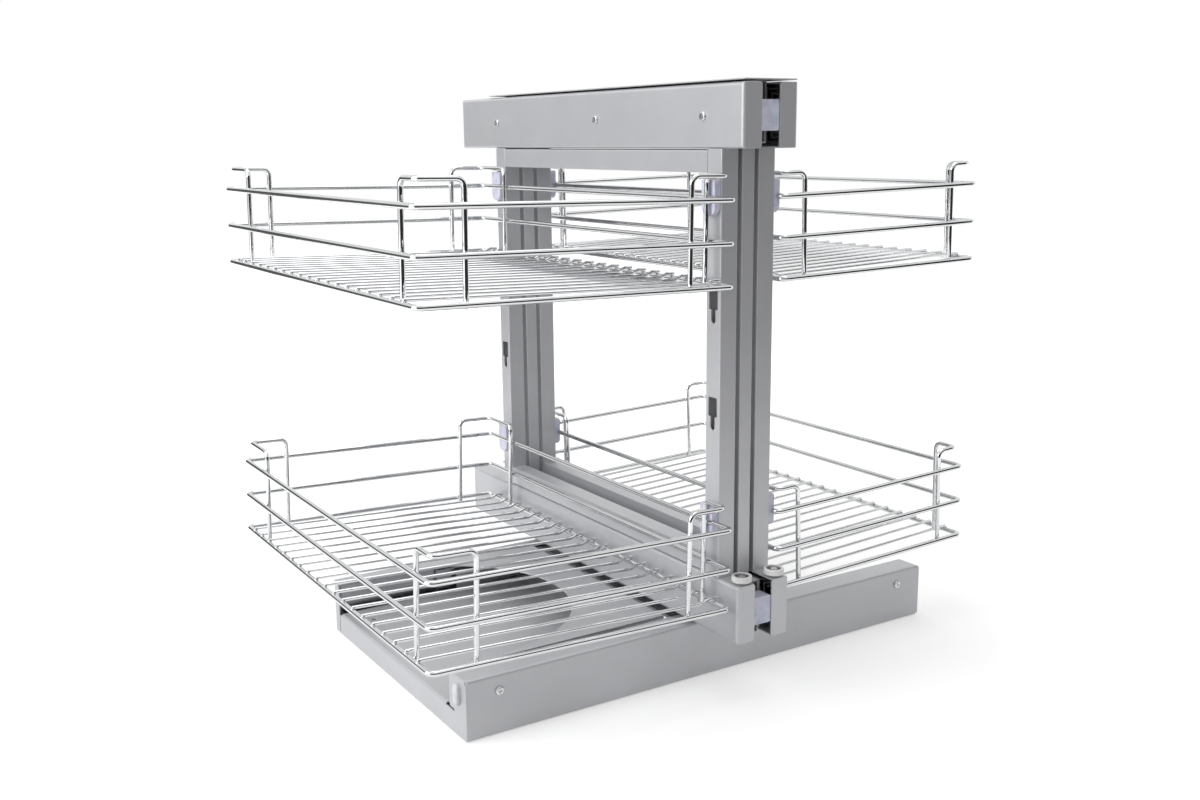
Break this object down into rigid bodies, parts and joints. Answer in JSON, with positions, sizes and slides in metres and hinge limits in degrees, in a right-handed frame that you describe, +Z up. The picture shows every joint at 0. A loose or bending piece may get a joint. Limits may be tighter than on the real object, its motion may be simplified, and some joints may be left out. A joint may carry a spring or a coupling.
{
  "type": "blind corner pull-out organizer",
  "caption": "Kitchen base cabinet organizer: side frames with wire baskets pull forward from a centre frame that slides across a sheet-metal base.",
  "frame": {"origin": "on the underside of the base, midway along its length and its depth", "axes": "+X along the base to the viewer's right from the cabinet's front, +Y into the cabinet, +Z up"},
  "size_m": [0.5963, 0.507, 0.539],
  "materials": {
    "frame_paint": "satin silver-grey metallic paint",
    "wire": "bright chrome plating",
    "slide_steel": "zinc plated",
    "clip_plastic": "milky, slightly lavender",
    "roller_plastic": "white",
    "fastener": "zinc plated",
    "buffer_plastic": "white"
  },
  "bodies": {
    "base": {"base_front_beam": "frame_paint", "base_tray": "frame_paint", "base_low_plate": "frame_paint", "base_top_plate": "frame_paint", "front_rail_outer": "slide_steel", "rear_slide_outer": "slide_steel", "base_screws": "fastener", "end_buffer": "buffer_plastic"},
    "rear_slide_middle": {"rear_slide_middle": "slide_steel"},
    "carriage": {"carriage_plate": "slide_steel", "carriage_riser": "slide_steel", "front_rail_runner": "slide_steel", "rear_slide_inner": "slide_steel", "centre_bottom_rail": "frame_paint", "centre_top_rail": "frame_paint", "centre_front_post": "frame_paint", "centre_rear_post": "frame_paint", "centre_end_blocks": "clip_plastic", "top_plate": "frame_paint", "centre_slide_outers": "slide_steel"},
    "left_slide_middles": {"left_slide_middles": "slide_steel"},
    "left_frame": {"left_slide_inners": "slide_steel", "left_bottom_cover": "frame_paint", "left_top_cover": "frame_paint", "left_bottom_bar": "frame_paint", "left_top_bar": "frame_paint", "left_front_post": "frame_paint", "left_rear_post": "frame_paint", "left_roller_pin": "fastener", "left_cover_screws": "fastener"},
    "left_roller": {"left_guide_roller": "roller_plastic"},
    "left_lower_basket": {"left_lower_basket_rails": "wire", "left_lower_basket_hoops": "wire", "left_lower_basket_floor": "wire", "left_lower_basket_clips": "clip_plastic"},
    "left_upper_basket": {"left_upper_basket_rails": "wire", "left_upper_basket_hoops": "wire", "left_upper_basket_floor": "wire", "left_upper_basket_clips": "clip_plastic"},
    "right_slide_middles": {"right_slide_middles": "slide_steel"},
    "right_frame": {"right_slide_inners": "slide_steel", "right_bottom_cover": "frame_paint", "right_top_cover": "frame_paint", "right_bottom_bar": "frame_paint", "right_top_bar": "frame_paint", "right_front_post": "frame_paint", "right_rear_post": "frame_paint", "right_roller_pin": "fastener", "right_cover_screws": "fastener"},
    "right_roller": {"right_guide_roller": "roller_plastic"},
    "right_lower_basket": {"right_lower_basket_rails": "wire", "right_lower_basket_hoops": "wire", "right_lower_basket_floor": "wire", "right_lower_basket_clips": "clip_plastic"},
    "right_upper_basket": {"right_upper_basket_rails": "wire", "right_upper_basket_hoops": "wire", "right_upper_basket_floor": "wire", "right_upper_basket_clips": "clip_plastic"}
  },
  "joints": [
    {"name": "cross_slide", "type": "slide", "parent": "base", "child": "carriage", "axis": [1, 0, 0], "range_m": [0, 0.24]},
    {"name": "rear_middle_slide", "type": "slide", "parent": "base", "child": "rear_slide_middle", "axis": [1, 0, 0], "range_m": [0, 0.12]},
    {"name": "left_frame_pull", "type": "slide", "parent": "carriage", "child": "left_frame", "axis": [0, -1, 0], "range_m": [0, 0.45]},
    {"name": "left_middles_slide", "type": "slide", "parent": "carriage", "child": "left_slide_middles", "axis": [0, -1, 0], "range_m": [0, 0.225]},
    {"name": "left_roller_spin", "type": "hinge", "parent": "left_frame", "child": "left_roller", "pos_m": [-0.0235, -0.213, 0.11555], "axis": [0, 0, 1], "continuous": true},
    {"name": "left_lower_basket_lift", "type": "slide", "parent": "left_frame", "child": "left_lower_basket", "axis": [0, 0, 1], "range_m": [0, 0.017]},
    {"name": "left_upper_basket_lift", "type": "slide", "parent": "left_frame", "child": "left_upper_basket", "axis": [0, 0, 1], "range_m": [0, 0.017]},
    {"name": "right_frame_pull", "type": "slide", "parent": "carriage", "child": "right_frame", "axis": [0, -1, 0], "range_m": [0, 0.45]},
    {"name": "right_middles_slide", "type": "slide", "parent": "carriage", "child": "right_slide_middles", "axis": [0, -1, 0], "range_m": [0, 0.225]},
    {"name": "right_roller_spin", "type": "hinge", "parent": "right_frame", "child": "right_roller", "pos_m": [0.0125, -0.213, 0.11555], "axis": [0, 0, 1], "continuous": true},
    {"name": "right_lower_basket_lift", "type": "slide", "parent": "right_frame", "child": "right_lower_basket", "axis": [0, 0, 1], "range_m": [0, 0.017]},
    {"name": "right_upper_basket_lift", "type": "slide", "parent": "right_frame", "child": "right_upper_basket", "axis": [0, 0, 1], "range_m": [0, 0.017]}
  ],
  "couplings": [
    {"joint": "rear_middle_slide", "follows": "cross_slide", "ratio": 0.5},
    {"joint": "left_middles_slide", "follows": "left_frame_pull", "ratio": 0.5},
    {"joint": "right_middles_slide", "follows": "right_frame_pull", "ratio": 0.5}
  ]
}
